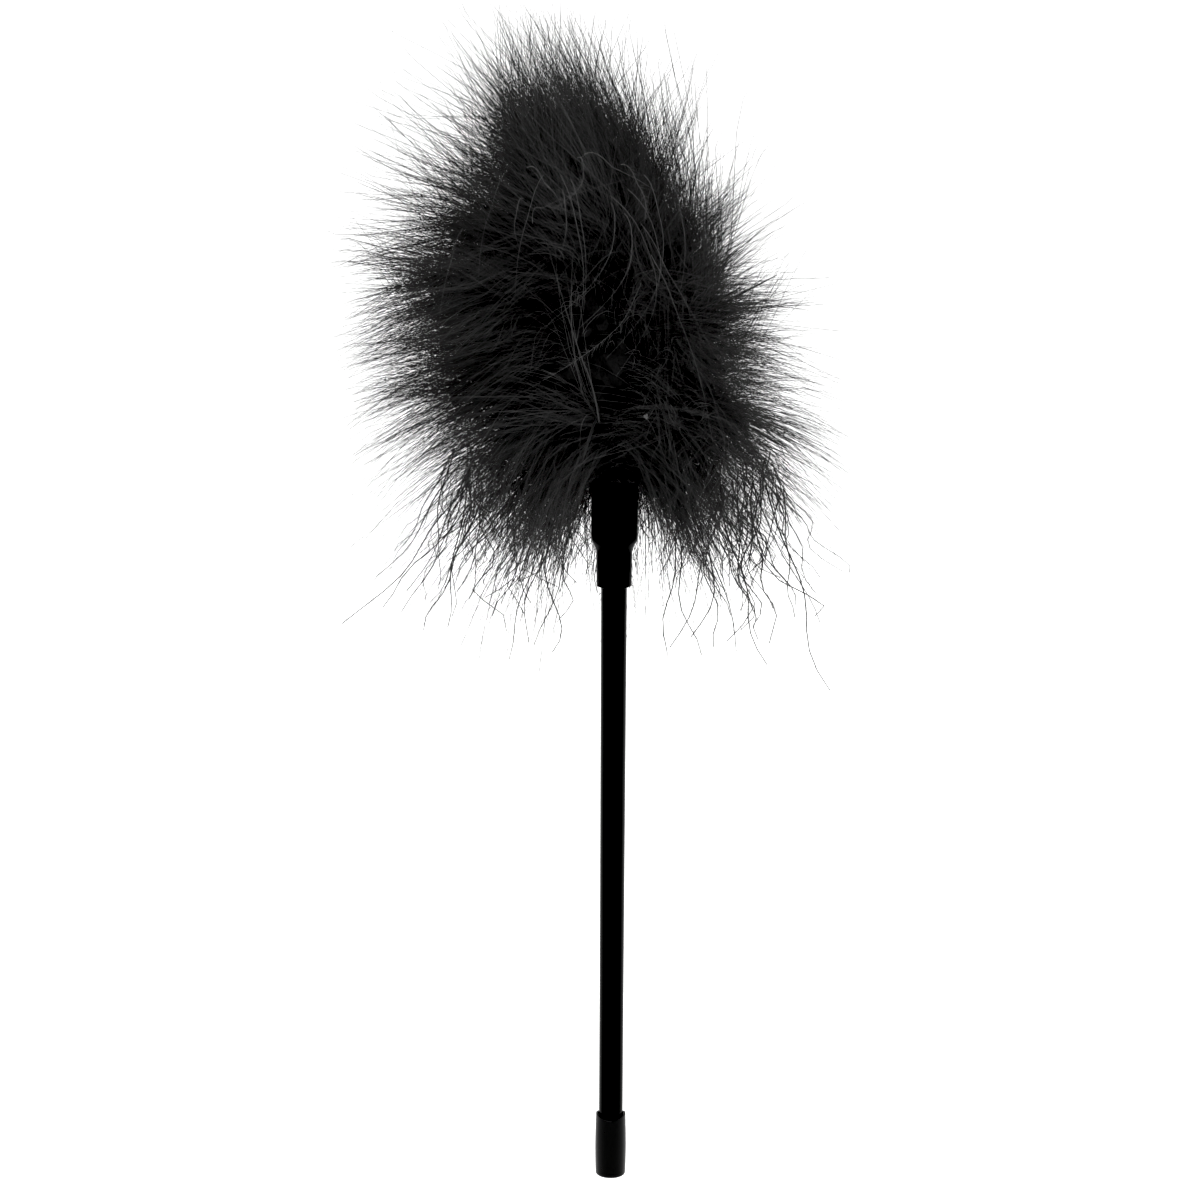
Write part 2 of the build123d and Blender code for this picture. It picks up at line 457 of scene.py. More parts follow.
@dataclass(frozen=True)
class Down:
    """The fine barbules along a barb, each of them straight and tapering to a point."""

    each: int  # how many barbules a barb has
    bare: float  # share of each barb, at its tip, that has none
    radius: float  # at the root, in millimetres
    crowding: tuple[float, float] = (1.6, 1.1)  # a beta curve: they crowd a little away from the root
    angles: tuple[float, float] = (30.0, 65.0)  # degrees off the barb
    lengths: tuple[float, float] = (2.0, 5.0)  # millimetres

    def grow(self, barbs: np.ndarray, rng: np.random.Generator) -> tuple[np.ndarray, np.ndarray]:
        """Grow barbules along barbs.

        Args:
            barbs: the barbs' points, barbs by points by three.
            rng: the source of chance.

        Returns:
            The barbules' points, barbules by two by three, and their radii, barbules by two.
        """
        count, steps = barbs.shape[:2]
        total = count * self.each
        owner = np.repeat(np.arange(count), self.each)
        at = rng.beta(*self.crowding, total) * (steps - 1) * (1 - self.bare)
        low = np.floor(at).astype(int).clip(0, steps - 2)
        share = (at - low)[:, None]
        start, end = barbs[owner, low], barbs[owner, low + 1]
        root = start + (end - start) * share
        shaft = unit(end - start)
        out = unit(np.cross(shaft, rng.normal(0, 1, (total, 3))))
        angle = np.radians(rng.uniform(*self.angles, total))[:, None]
        length = rng.uniform(*self.lengths, total) * MM
        tip = root + (np.cos(angle) * shaft + np.sin(angle) * out) * length[:, None]
        points = np.stack((root, tip), axis=1)
        return points, np.broadcast_to(np.array((self.radius * MM, 0.0)), points.shape[:2])


@dataclass
class Lay:
    """How a set of barbs lies: roots along the quill, tips, and the bend of their locks."""

    along: np.ndarray
    ends: np.ndarray
    bend: np.ndarray


@dataclass
class Feather:
    """One marabou feather: barbs all round its quill, with down along each barb."""

    quill: str
    plume: str
    tier: Tier
    mouth_z: float
    sleeve_r: float
    seed: int = 100  # added to the feather's number
    near_tip: float = 0.2 * MM  # corners this near the outermost one make up the quill's tip
    near_foot: float = 0.1 * MM  # and this near the lowest one, its foot
    lean: float = 0.05  # how much further the left side reaches, and how much less the right
    front_slim: float = 0.06  # how much less the front reaches
    tip_l: float = 12.0 * MM  # the straight end of the quill's line
    points: int = 7  # points along a barb
    barb_r: float = 0.105 * MM
    barb_play: tuple[float, float] = (0.7, 1.6)  # how barbs differ in thickness
    down: Down = Down(each=8, bare=0.55, radius=0.06)
    parting: Parting = Parting()
    leave_shaft: float = 0.9  # how strongly a barb sets off along the shaft
    leave_tip: float = 0.6  # how strongly it sets off towards its tip
    leave_play: float = 0.12  # how much single barbs stray from that
    leave_pull: float = 1.25  # how far it keeps to that heading, as a share of its length
    arrive_tip: float = 0.35  # how strongly it ends along the straight way to its tip
    arrive_play: float = 0.22
    arrive_pull: float = 0.7
    beside_sleeve: float = 1.2  # barbs nearer than this many radii would hide the sleeve
    below_mouth: float = 2.0 * MM  # by how much such a barb may hang before the sleeve
    mouth_slope: float = 0.2  # how much higher it has to stay for each step forwards
    sleeve_gap: tuple[float, float] = (0.4, 5.0)  # how far barbs stay off the sleeve, in millimetres
    over_mouth: float = 1.0 * MM  # above this nothing is pushed aside

    def __post_init__(self) -> None:
        """Read the feather's place from its quill in the frame."""
        corners = np.array([v.co for v in bpy.data.objects[self.quill].data.vertices])
        reach = np.hypot(corners[:, 0], corners[:, 1])
        tip = corners[reach > reach.max() - self.near_tip].mean(axis=0)
        foot = corners[corners[:, 2] < corners[:, 2].min() + self.near_foot]
        self.azimuth = math.atan2(tip[1], tip[0])
        self.foot_r = float(np.hypot(*foot[:, :2].mean(axis=0)))
        self.rng = np.random.default_rng(int(self.quill[-2:]) + self.seed)

    def fullness(self) -> float:
        """The reach of this feather as a share of its tier's reach."""
        front = min(0.0, math.sin(self.azimuth))
        return 1.0 - self.lean * math.cos(self.azimuth) + self.front_slim * front

    def line(self, along: np.ndarray) -> tuple[np.ndarray, np.ndarray]:
        """Follow the quill's line from the sleeve's mouth to the quill's tip.

        Args:
            along: places along the line, from 0 at the mouth to 1 at the tip.

        Returns:
            Points and headings, each places by three.
        """
        growth, full = self.tier.value, self.fullness()
        first_r, second_r = growth.first_r * full * MM, growth.second_r * full * MM
        first_turn = math.radians(growth.first_turn)
        second_turn = math.radians(growth.second_turn * growth.quill_share)
        spans = np.array((growth.rise * MM, first_r * first_turn, second_r * second_turn, self.tip_l))
        at = along * spans.sum()
        on_rise = np.clip(at, 0, spans[0])
        on_first = np.clip(at - spans[0], 0, spans[1]) / first_r
        on_second = np.clip(at - spans[:2].sum(), 0, spans[2]) / second_r
        on_tip = np.clip(at - spans[:3].sum(), 0, spans[3])
        heading = on_first + on_second
        end = first_turn + second_turn
        reach = self.foot_r + first_r * (1 - np.cos(on_first))
        reach += second_r * (np.cos(first_turn) - np.cos(first_turn + on_second))
        reach += on_tip * math.sin(end)
        height = self.mouth_z + on_rise + first_r * np.sin(on_first)
        height += second_r * (np.sin(first_turn + on_second) - np.sin(first_turn))
        height += on_tip * math.cos(end)
        out = np.array((math.cos(self.azimuth), math.sin(self.azimuth), 0.0))
        points = reach[:, None] * out + height[:, None] * UP
        headings = np.sin(heading)[:, None] * out + np.cos(heading)[:, None] * UP
        return points, headings

    def grow_barbs(self, lay: Lay) -> np.ndarray:
        """Grow barbs from the quill to where their tips lie.

        Args:
            lay: where the feather's barbs root, end and bend.

        Returns:
            The barbs' points, barbs by points by three.
        """
        rng, count = self.rng, len(lay.along)
        roots, shaft = self.line(lay.along)
        way = lay.ends - roots
        length = np.linalg.norm(way, axis=1, keepdims=True)
        leave = self.leave_shaft * shaft + self.leave_tip * way / length + lay.bend[:, 0]
        leave = unit(leave + rng.normal(0, self.leave_play, (count, 3)))
        arrive = unit(lay.ends - HEAD.centre()) - self.tier.value.droop * UP
        arrive = arrive + self.arrive_tip * way / length + lay.bend[:, 1]
        arrive = unit(arrive + rng.normal(0, self.arrive_play, (count, 3)))
        t = np.linspace(0, 1, self.points)[None, :, None]
        start = (leave * length * self.leave_pull)[:, None]
        finish = (arrive * length * self.arrive_pull)[:, None]
        barbs = (2 * t**3 - 3 * t**2 + 1) * roots[:, None] + (t**3 - 2 * t**2 + t) * start
        barbs += (3 * t**2 - 2 * t**3) * lay.ends[:, None] + (t**3 - t**2) * finish
        return self.clear_sleeve(barbs[~self.in_the_way(barbs)])

    def in_the_way(self, barbs: np.ndarray) -> np.ndarray:
        """Find the barbs that would hide the sleeve, and most of those that cross the parting.

        Args:
            barbs: the barbs' points.

        Returns:
            One truth value for each barb.
        """
        places = np.concatenate((barbs, (barbs[:, 1:] + barbs[:, :-1]) / 2), axis=1)
        x, y, z = np.moveaxis(places, -1, 0)
        beside = (np.abs(x) < self.beside_sleeve * self.sleeve_r) & (y < 0)
        before = (beside & (z < self.mouth_z - self.below_mouth - self.mouth_slope * y)).any(axis=1)
        parted = self.rng.random(len(barbs)) < self.parting.share
        return before | (self.parting.crossed(places) & parted)

    def clear_sleeve(self, barbs: np.ndarray) -> np.ndarray:
        """Push points that would lie inside the sleeve out round it.

        Args:
            barbs: the barbs' points.

        Returns:
            The points, all outside the sleeve.
        """
        radius = np.hypot(barbs[..., 0], barbs[..., 1])
        least = self.sleeve_r + self.rng.uniform(*self.sleeve_gap, (len(barbs), 1)) * MM
        low = barbs[..., 2] < self.mouth_z + self.over_mouth
        push = np.where(low, np.maximum(least / radius, 1.0), 1.0)
        barbs[..., :2] *= push[..., None]
        return barbs

    def build(self, profile: bpy.types.Object, lay: Lay) -> bpy.types.Object:
        """Build the plume as one mesh.

        Args:
            profile: the strands' cross-section.
            lay: where the feather's barbs root, end and bend.

        Returns:
            The plume piece, in place of its plain solid.
        """
        barbs = self.grow_barbs(lay)
        down = self.down.grow(barbs, self.rng)
        thickness = self.barb_r * self.rng.uniform(*self.barb_play, (len(barbs), 1))
        sheaf = Sheaf(self.plume.replace("plume", "feather"))
        sheaf.add(barbs, thickness * np.sqrt(np.linspace(1.0, 0.0, self.points)))
        sheaf.add(*down)
        piece = sheaf.build(profile)
        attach(piece, "wand")
        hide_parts(self.plume)
        return piece


@dataclass
class Locks:
    """The pointed locks that the barbs are gathered in, and where their tips lie.

    Lengths are in millimetres, except for those that are read from the frame.
    """

    mouth_z: float
    sleeve_r: float
    low: np.ndarray  # the corners of the box that the tips stay inside, in metres
    high: np.ndarray
    count: int = 1500
    scatter: float = 0.05  # how far the locks' directions stray from an even spread
    crest: tuple[float, float, float] = (-0.13, 0.0, 1.0)  # where the crown's extra locks point
    crest_spread: float = 0.22
    crest_count: int = 220
    barbs: int = 26000
    spread: float = 3.2  # how far a lock's barbs stray from each other ...
    spread_at: float = 70.0  # ... at this distance from the middle of the head
    inner_share: float = 0.45  # share of the locks that end inside the head
    inner_reach: tuple[float, float] = (0.7, 1.0)  # how far out those end, as a share of the reach
    beyond: tuple[float, float] = (6.5, 5.0)  # how far the others end beyond the close down, and its play
    beyond_limits: tuple[float, float] = (-3.0, 20.0)
    beyond_low: float = 5.0  # how much is added to that straight down
    stray: float = 7.5  # single barbs end this far beyond their lock on average ...
    stray_back: float = 5.0  # ... less this
    stray_limits: tuple[float, float] = (-5.0, 25.0)
    flyaways: float = 0.06  # share of the barbs that stick out well beyond their locks
    flyaway_l: tuple[float, float] = (8.0, 28.0)
    loose_left: float = 1.45  # how much further the stray barbs reach on the left
    loose_low: float = 0.8  # how much is added to that towards the bottom
    lowest: float = 150.0  # no tip hangs below this
    box_gap: float = 9.0  # how far tips may stay inside the box's faces, so that none looks trimmed
    beside_sleeve: float = 1.25  # tips nearer than this many radii would hide the sleeve
    parting: float = 0.94  # how nearly a lock must point at the front to be left out there
    parting_share: float = 0.80  # share of the barbs left out of the parting and the hollow
    fold_z: float = 325.0  # above this the front is closed again
    hollow_z: float = 268.0  # below this the front falls back to the sleeve
    hollow_half: float = 14.0
    hollow_front: float = -20.0

    def ways(self, rng: np.random.Generator) -> np.ndarray:
        """Spread the locks' directions evenly round the head, with some more for the crown.

        Args:
            rng: the source of chance.

        Returns:
            Unit vectors from the middle of the head, one for each lock.
        """
        turn = math.pi * (3 - math.sqrt(5)) * np.arange(self.count)
        rise = 1 - 2 * (np.arange(self.count) + 0.5) / self.count
        flat = np.sqrt(1 - rise**2)
        even = np.stack((flat * np.cos(turn), flat * np.sin(turn), rise), axis=1)
        crest = np.array(self.crest) + rng.normal(0, self.crest_spread, (self.crest_count, 3))
        return unit(np.concatenate((even + rng.normal(0, self.scatter, even.shape), crest)))

    def room(self, way: np.ndarray) -> np.ndarray:
        """Find how far a tip may lie from the middle of the head within its box.

        Args:
            way: unit vectors from the middle.

        Returns:
            One distance for each, in metres.
        """
        side = np.where(way > 0, self.high, (self.low[0], self.low[1], self.lowest * MM))
        run = (side - HEAD.centre()) / np.where(np.abs(way) < 1e-6, 1e-6, way)
        return run.min(axis=1)

    def tips(self, way: np.ndarray, rng: np.random.Generator) -> tuple[np.ndarray, np.ndarray]:
        """Lay out where the barbs' tips lie, in pointed locks.

        Args:
            way: the locks' directions from the middle of the head.
            rng: the source of chance.

        Returns:
            The lock that each barb belongs to, and its tip in metres.
        """
        inner = rng.random(len(way)) < self.inner_share
        share = np.where(inner, rng.uniform(*self.inner_reach, len(way)), 1.0)
        low = np.clip(-way[:, 2], 0, 1)
        beyond = rng.normal(*self.beyond, len(way)).clip(*self.beyond_limits)
        beyond = np.where(inner, 0.0, beyond + self.beyond_low * low) * MM
        lock = rng.integers(0, len(way), self.barbs)
        aside = rng.normal(0, self.spread * MM, (self.barbs, 3))
        out = unit(way[lock] * self.spread_at * MM + aside)
        stray = (rng.exponential(self.stray, self.barbs) - self.stray_back).clip(*self.stray_limits) * MM
        flying = rng.random(self.barbs) < self.flyaways
        stray += np.where(flying, rng.uniform(*self.flyaway_l, self.barbs), 0) * MM
        looser = np.where(out[:, 0] < 0, self.loose_left, 1.0) + self.loose_low * low[lock]
        stray *= np.where(stray > 0, looser, 1.0)
        reach = HEAD.reach(HEAD.centre() + out) * share[lock] + beyond[lock] + stray
        reach = np.minimum(reach, self.room(out) - rng.uniform(0, self.box_gap, self.barbs) * MM)
        ends = HEAD.centre() + out * reach[:, None]
        kept = ~self.left_out(way[lock], ends, rng)
        return lock[kept], ends[kept]

    def left_out(self, way: np.ndarray, ends: np.ndarray, rng: np.random.Generator) -> np.ndarray:
        """Find the barbs that are left out over the sleeve and along the parting.

        Args:
            way: the direction of each barb's lock.
            ends: each barb's tip.
            rng: the source of chance.

        Returns:
            One truth value for each barb.
        """
        x, y, z = ends.T
        on_sleeve = (z < self.mouth_z) & (np.abs(x) < self.beside_sleeve * self.sleeve_r) & (y < 0)
        parted = (way[:, 1] < -self.parting) & (z < self.fold_z * MM)
        hollow = (np.abs(x) < self.hollow_half * MM) & (y < self.hollow_front * MM)
        hollow &= z < self.hollow_z * MM
        thinned = rng.random(len(ends)) < self.parting_share
        return on_sleeve | ((parted | hollow) & thinned)


@dataclass
class Head:
    """The whole head of feathers, whose locks are shared out so that the down closes up.

    Each lock goes to the place along a quill from which its barbs are nearest to the liked
    length, angle, depth and sag. The play of each says how much a miss counts.
    """

    locks: Locks
    seed: int = 7
    places: int = 16  # places along each quill where locks may root
    first_place: float = 0.04
    barb_l: float = 48.0 * MM
    barb_l_play: float = 12.0 * MM
    barb_angle: float = 38.0
    angle_play: float = 24.0
    angle_play_low: float = 30.0  # added to that straight down
    root_depth: float = 0.6  # how far out a barb may be rooted without cost, as a share of the reach
    depth_play: float = 0.1
    sag: float = 12.0 * MM  # how far below its root a side lock likes to end
    sag_play: float = 18.0 * MM
    side_rise: float = 0.3  # locks that point up more than this don't sag
    whim: float = 0.8  # how much chance there is in the choice
    rounds: int = 12  # how many times the shares are evened out
    crowding: float = 0.6  # how strongly a crowded place puts locks off
    bends: tuple[float, float] = (0.28, 0.22)  # how far locks bend aside at foot and tip
    root_play: float = 0.045  # how far a barb may root from its lock's place
    first_root: float = 0.01  # no barb roots nearer the mouth than this share of the quill's line
    core_share: float = 0.46  # how far out the dark core of painted shade lies, as a share of the reach
    core_lump: float = 6.0 * MM

    def cost(self, way: np.ndarray, roots: np.ndarray, shaft: np.ndarray) -> np.ndarray:
        """Work out how ill each place along the quills suits each lock.

        Args:
            way: the locks' directions.
            roots: the places.
            shaft: the quills' headings there.

        Returns:
            The costs, locks by places.
        """
        target = HEAD.centre() + way * HEAD.reach(HEAD.centre() + way)[:, None]
        run = target[:, None] - roots[None]
        length = np.linalg.norm(run, axis=2)
        angle = np.degrees(np.arccos(((run * shaft[None]).sum(axis=2) / length).clip(-1, 1)))
        ease = self.angle_play + self.angle_play_low * np.clip(-way[:, 2:], 0, 1)
        cost = ((length - self.barb_l) / self.barb_l_play) ** 2 + ((angle - self.barb_angle) / ease) ** 2
        depth = np.linalg.norm(roots - HEAD.centre(), axis=1) / HEAD.reach(roots)
        cost += ((depth - self.root_depth).clip(0, None) / self.depth_play) ** 2
        sagging = ((run[..., 2] + self.sag) / self.sag_play) ** 2
        return cost + np.where(way[:, 2:] < self.side_rise, sagging, 0)

    def lay(self, feathers: list[Feather], rng: np.random.Generator) -> list[Lay]:
        """Share the locks out among the quills, each to a place that can reach it well.

        No stretch of quill is given many more locks than another.

        Args:
            feathers: all the feathers.
            rng: the source of chance.

        Returns:
            How each feather's barbs lie.
        """
        way = self.locks.ways(rng)
        lock, ends = self.locks.tips(way, rng)
        along = np.linspace(self.first_place, 1.0, self.places)
        lines = [feather.line(along) for feather in feathers]
        roots = np.concatenate([line[0] for line in lines])
        shaft = np.concatenate([line[1] for line in lines])
        cost = self.cost(way, roots, shaft)
        cost += rng.gumbel(0, self.whim, cost.shape)
        crowd = np.zeros(len(roots))
        fair = len(way) / len(roots)
        for _ in range(self.rounds):
            pick = np.argmin(cost + crowd, axis=1)
            load = np.bincount(pick, minlength=len(roots))
            crowd = (crowd + self.crowding * np.log((load + 1) / (fair + 1))).clip(0, None)
        bend = rng.normal(0, self.bends, (len(way), 3, 2)).swapaxes(1, 2)
        root = along[pick[lock] % self.places] + rng.normal(0, self.root_play, len(lock))
        owner = pick[lock] // self.places
        lays = []
        for k in range(len(feathers)):
            mine = owner == k
            lays.append(Lay(root[mine].clip(self.first_root, 1.0), ends[mine], bend[lock[mine]]))
        return lays

    def core(self) -> bpy.types.Object:
        """Build the dark core at the middle of the head, which stands in for down too close for strands,
        and whose darker colour is painted shade.

        Returns:
            A closed form with broad and fine lumps, well inside the head's outline.
        """
        form = bmesh.new()
        bmesh.ops.create_icosphere(form, subdivisions=5, radius=1.0)
        for corner in form.verts:
            way = np.array(corner.co)
            reach = HEAD.reach(HEAD.centre() + way) * self.core_share
            broad = noise.fractal(Vector(way * 3.0), 0.9, 2.1, 4)
            lump = broad + 0.25 * noise.noise(Vector(way * 17.0))
            corner.co = Vector(HEAD.centre() + way * (reach + lump * self.core_lump))
        core = finished(form, "packed_down")
        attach(core, "wand")
        return core

    def build(self, quills: list[str]) -> None:
        """Build and dress every feather, and the strands that lie over them.

        Args:
            quills: names of the quill nodes.
        """
        profile = strand_profile()
        rng = np.random.default_rng(self.seed)
        down, keratin = MARABOU_DOWN.material(), QUILL_KERATIN.material()
        mouth_z, sleeve_r = self.locks.mouth_z, self.locks.sleeve_r
        feathers = []
        # The core is coloured darker than the down: painted shade for the inside of the head.
        dress(self.core(), SHADED_CORE_DOWN.material())
        for quill in quills:
            tier = Tier[quill.split("_")[1].upper()]
            plume = quill.replace("quill", "plume")
            feathers.append(Feather(quill, plume, tier, mouth_z, sleeve_r))
            dress(bpy.data.objects[quill], keratin)
        for feather, lay in zip(feathers, self.lay(feathers, rng)):
            piece = feather.build(profile, lay)
            dress(piece, down)
            LOG.info("%s: %s, %d faces", piece.name, MARABOU_DOWN.name, len(piece.data.polygons))
        LooseStrands(mouth_z, sleeve_r).build(profile)
        bpy.data.objects.remove(profile)


# ---------------------------------------------------------------- loose strands


@dataclass(frozen=True)
class Strand:
    """A bare strand over the front of the head, in millimetres.

    It goes from one place to another, given by x and z, and bulges to one side on its way.
    """

    x: float
    z: float
    end_x: float
    end_z: float
    bulge: float
    radius: float = 0.09
    fluffed: bool = False


@dataclass
class HangingBarbs:
    """The wavy barbs that hang out of the skirt all round the sleeve, most of them short.

    Lengths are in millimetres, except for those that are read from the frame. The shares are of
    each barb's own fall.
    """

    mouth_z: float
    sleeve_r: float
    count: int = 560
    points: int = 12
    start_z: tuple[float, float] = (-5.6, 12.4)  # above the sleeve's mouth
    start_r: float = 12.5  # how near the axis the nearest of them starts
    start_band: float = 36.0  # how much further out the farthest starts
    wider: float = 1.15  # they hang further out at the sides ...
    deeper: float = 0.85  # ... and less far at front and back
    fall: float = 6.0  # how far the shortest falls
    fall_band: float = 57.0  # how much further the longest falls
    fall_shape: tuple[float, float] = (1.1, 2.3)  # a beta curve, with more short ones than long
    drift: tuple[float, float] = (-0.1, 0.45)  # outwards, as a share
    wave: tuple[float, float] = (0.02, 0.14)  # how far they wave at the tip, as a share
    beats: tuple[float, float] = (1.0, 2.4)  # how many waves a barb has
    slant: float = 0.26  # how far they hang aside, as a share ...
    slant_limit: float = 0.45  # ... and at most
    clear: float = 5.0  # how far they stay off the sleeve
    radii: tuple[float, float] = (0.09, 0.15)
    thicker: float = 3.5  # millimetres of radius for each metre of fall
    tip_share: float = 0.55
    down: Down = Down(each=24, bare=0.1, radius=0.04)

    def lay(self, rng: np.random.Generator) -> np.ndarray:
        """Lay them, and leave out those that would touch the sleeve or hang before it.

        Args:
            rng: the source of chance.

        Returns:
            Their points, barbs by points by three, in metres.
        """
        each = (self.count, 1)
        t = np.linspace(0, 1, self.points)[None]
        turn, share = rng.uniform(0, math.tau, (2, *each))
        out = (self.start_r + self.start_band * share / math.tau) * MM
        fall = (self.fall + self.fall_band * rng.beta(*self.fall_shape, each)) * MM
        drift = fall * rng.uniform(*self.drift, each)
        swing, sway = rng.uniform(0, math.tau, (2, *each))
        wave = fall * rng.uniform(*self.wave, each) * t
        beats = rng.uniform(*self.beats, each) * math.tau
        aside = rng.normal(0, self.slant, (2, *each)).clip(-self.slant_limit, self.slant_limit)
        slant, lean = fall * aside
        radius = out + drift * t
        x = self.wider * np.cos(turn) * radius + wave * np.sin(beats * t + swing) + slant * t
        y = self.deeper * np.sin(turn) * radius + wave * np.sin(beats * t + sway) + lean * t
        start = self.mouth_z + rng.uniform(*self.start_z, each) * MM
        paths = np.stack((x, y, start - fall * t), axis=2)
        least = self.sleeve_r + self.clear * MM
        touching = np.hypot(x, y) < least
        before = (np.abs(x) < least) & (y < 0)
        return paths[~(touching | before).any(axis=1)]

    def sheaf(self, rng: np.random.Generator) -> Sheaf:
        """Gather the barbs and their down.

        Args:
            rng: the source of chance.

        Returns:
            A sheaf that is ready to build.
        """
        barbs = self.lay(rng)
        thick = rng.uniform(*self.radii, len(barbs)) + self.thicker * np.ptp(barbs[..., 2], axis=1)
        sheaf = Sheaf("hanging_barbs")
        sheaf.add(barbs, thick[:, None] * MM * np.linspace(1.0, self.tip_share, self.points))
        sheaf.add(*self.down.grow(barbs, rng))
        return sheaf


@dataclass
class LooseStrands:
    """Bare barbs that hang over the front from the crown's fold, a bare shaft and a fleck of lint.

    Lengths are in millimetres, except for those that are read from the frame.
    """

    mouth_z: float
    sleeve_r: float
    strands: tuple[Strand, ...] = (
        Strand(-28, 325, -29, 311, -2, 0.11),
        Strand(-22, 332, -30, 297, -3),
        Strand(-17, 328, -17, 308, 2, 0.11),
        Strand(-14, 331, -10, 291, 3),
        Strand(-17, 332, -12, 283, 5),
        Strand(-2, 324, -23, 287, 6),
        Strand(2, 321, -11, 288, 6, 0.11),
        Strand(-2, 326, 0, 274, 13),
        Strand(3, 328, -3, 279, 12),
        Strand(8, 332, 12, 299, 4, 0.11),
        Strand(16, 330, 19, 299, 3),
        Strand(7, 318, 30, 278, 3),
        Strand(10, 309, 29, 253, 5),
        Strand(-33, 333, -41, 302, -3, 0.07),
        Strand(-46, 316, -53, 288, -2, 0.07),
        Strand(-10, 338, 12, 327, 4, 0.11),
        Strand(-25, 318, 4, 331, -4),
        Strand(-27, 334, -16, 322, 3, 0.12),
        Strand(20, 326, 27, 310, 3, 0.12),
        Strand(7, 301, -26, 270, 3, 0.08, True),
        Strand(-12, 337, -19, 322, 4, 0.10, True),
        Strand(1, 335, 8, 318, 4, 0.10, True),
    )
    shaft: Strand = Strand(-5, 259, -22, 315, -2, 0.34)
    seed: int = 21
    points: int = 18
    hold_x: float = 1.4  # above 1, a strand goes down before it goes aside
    arch: float = 2.0  # how far the first third of a strand is lifted
    over: float = 11.5  # how far the strands lie beyond the close down
    shaft_over: float = -2.0
    tip_share: float = 0.25
    shaft_tip_share: float = 0.2
    down: Down = Down(each=90, bare=0.1, radius=0.04)
    lint: tuple[float, float] = (9.0, 261.0)  # x and z
    lint_over: float = 2.0
    lint_r: float = 0.55

    def path(self, strand: Strand, over: float) -> np.ndarray:
        """Lay a strand over the front of the head.

        Args:
            strand: the strand.
            over: how far beyond the close down it lies.

        Returns:
            Its points in metres.
        """
        t = np.linspace(0, 1, self.points)
        aside = strand.bulge * np.sin(math.pi * t)
        x = strand.x + (strand.end_x - strand.x) * t**self.hold_x + aside
        arch = self.arch * np.sin(math.pi * np.minimum(3 * t, 1))
        z = strand.z + (strand.end_z - strand.z) * t + arch
        return HEAD.front(x * MM, z * MM, over * MM)

    def fleck(self) -> bpy.types.Object:
        """Build the fleck of lint.

        Returns:
            A small lumpy closed form, caught in the down.
        """
        x, z = np.array([self.lint]).T * MM
        place = Vector(HEAD.front(x, z, self.lint_over * MM)[0])
        form = bmesh.new()
        bmesh.ops.create_icosphere(form, subdivisions=3, radius=1.0)
        for corner in form.verts:
            lump = 1 + 0.9 * noise.fractal(corner.co * 1.7, 0.8, 2.0, 3)
            corner.co = place + corner.co * (self.lint_r * MM * lump)
        return finished(form, "lint_fleck")

    def build(self, profile: bpy.types.Object) -> None:
        """Build and dress the strands, the shaft and the lint.

        Args:
            profile: the strands' cross-section.
        """
        rng = np.random.default_rng(self.seed)
        strands = Sheaf("loose_barbs")
        paths = np.stack([self.path(strand, self.over) for strand in self.strands])
        radii = np.array([strand.radius * MM for strand in self.strands])
        strands.add(paths, radii[:, None] * np.linspace(1.0, self.tip_share, self.points))
        fluffed = paths[[strand.fluffed for strand in self.strands]]
        strands.add(*self.down.grow(fluffed, rng))
        hanging = HangingBarbs(self.mouth_z, self.sleeve_r).sheaf(rng)
        shaft = Sheaf("bare_shaft")
        taper = np.linspace(1.0, self.shaft_tip_share, self.points)
        shaft.add(self.path(self.shaft, self.shaft_over)[None], (self.shaft.radius * MM * taper)[None])
        dressed = (
            # The bare barbs' lighter grey is a painted highlight.
            (strands.build(profile), LIT_BARE_BARB),
            (hanging.build(profile), MARABOU_DOWN),
            (shaft.build(profile), QUILL_KERATIN),
            # The lint's dark grey is painted shade.
            (self.fleck(), SHADED_LINT),
        )
        for piece, finish in dressed:
            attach(piece, "wand")
            dress(piece, finish.material())
            LOG.info("%s: %s", piece.name, finish.name)


# ---------------------------------------------------------------- handle


@dataclass
class Handle:
    """The rod, sleeve, end cap and what binds the quills."""

    finishes: dict[str, Finish] = field(
        default_factory=lambda: {
            "rod": ROD_ABS,
            "sleeve": SLEEVE_VINYL,
            "end_cap": CAP_VINYL,
            "binding_thread": WAXED_THREAD,
            "adhesive_plug": ADHESIVE,
        }
    )

    def dress(self) -> None:
        """Give each of the handle's nodes its finish."""
        for node, finish in self.finishes.items():
            dress(bpy.data.objects[node], finish.material())
            LOG.info("%s: %s", node, finish.name)


# ---------------------------------------------------------------- studio


@dataclass(frozen=True)
class Lamp:
    """One soft square light that points at the head: its place and side in metres, and its watts."""

    name: str
    place: tuple[float, float, float]
    power: float
    side: float = 0.9


